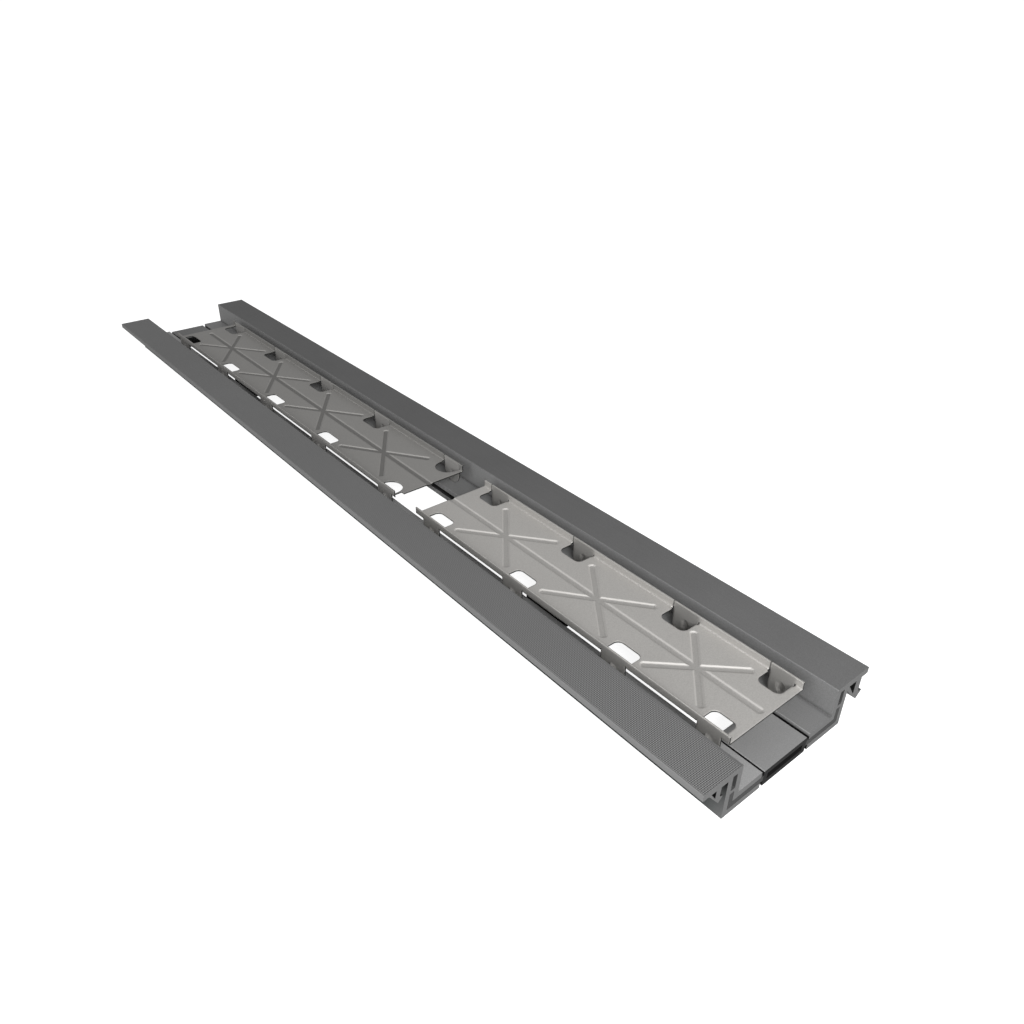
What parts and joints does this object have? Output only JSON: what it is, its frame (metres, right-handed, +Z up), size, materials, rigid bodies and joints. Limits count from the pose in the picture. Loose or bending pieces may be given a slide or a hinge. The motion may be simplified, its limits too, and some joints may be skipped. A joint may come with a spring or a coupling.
{
  "type": "channel drain",
  "caption": "Linear floor drain channel: extruded edge rails on cross connectors, with embossed sheet covers that stand on the rails' shelves on bent-down feet.",
  "frame": {"origin": "middle of the channel's length and width, on the plane of the bed it stands on", "axes": "+X across the channel towards the plain rail, +Y along it away from the front cover, +Z up"},
  "size_m": [0.17, 1, 0.038],
  "materials": {
    "knurled_rail": "matt mill finish, knurled tread",
    "plain_rail": "matt mill finish",
    "connector": "matt grey",
    "cover": "satin"
  },
  "bodies": {
    "frame": {"left_rail": "knurled_rail", "right_rail": "plain_rail", "cross_connector_1": "connector", "cross_connector_2": "connector", "cross_connector_3": "connector", "cross_connector_4": "connector"},
    "front_cover_body": {"front_cover": "cover"},
    "rear_cover_body": {"rear_cover": "cover"}
  },
  "joints": [
    {"name": "front_cover_lift", "type": "slide", "parent": "frame", "child": "front_cover_body", "axis": [0, 0, 1], "range_m": [0, 0.187]},
    {"name": "rear_cover_lift", "type": "slide", "parent": "frame", "child": "rear_cover_body", "axis": [0, 0, 1], "range_m": [0, 0.187]}
  ]
}
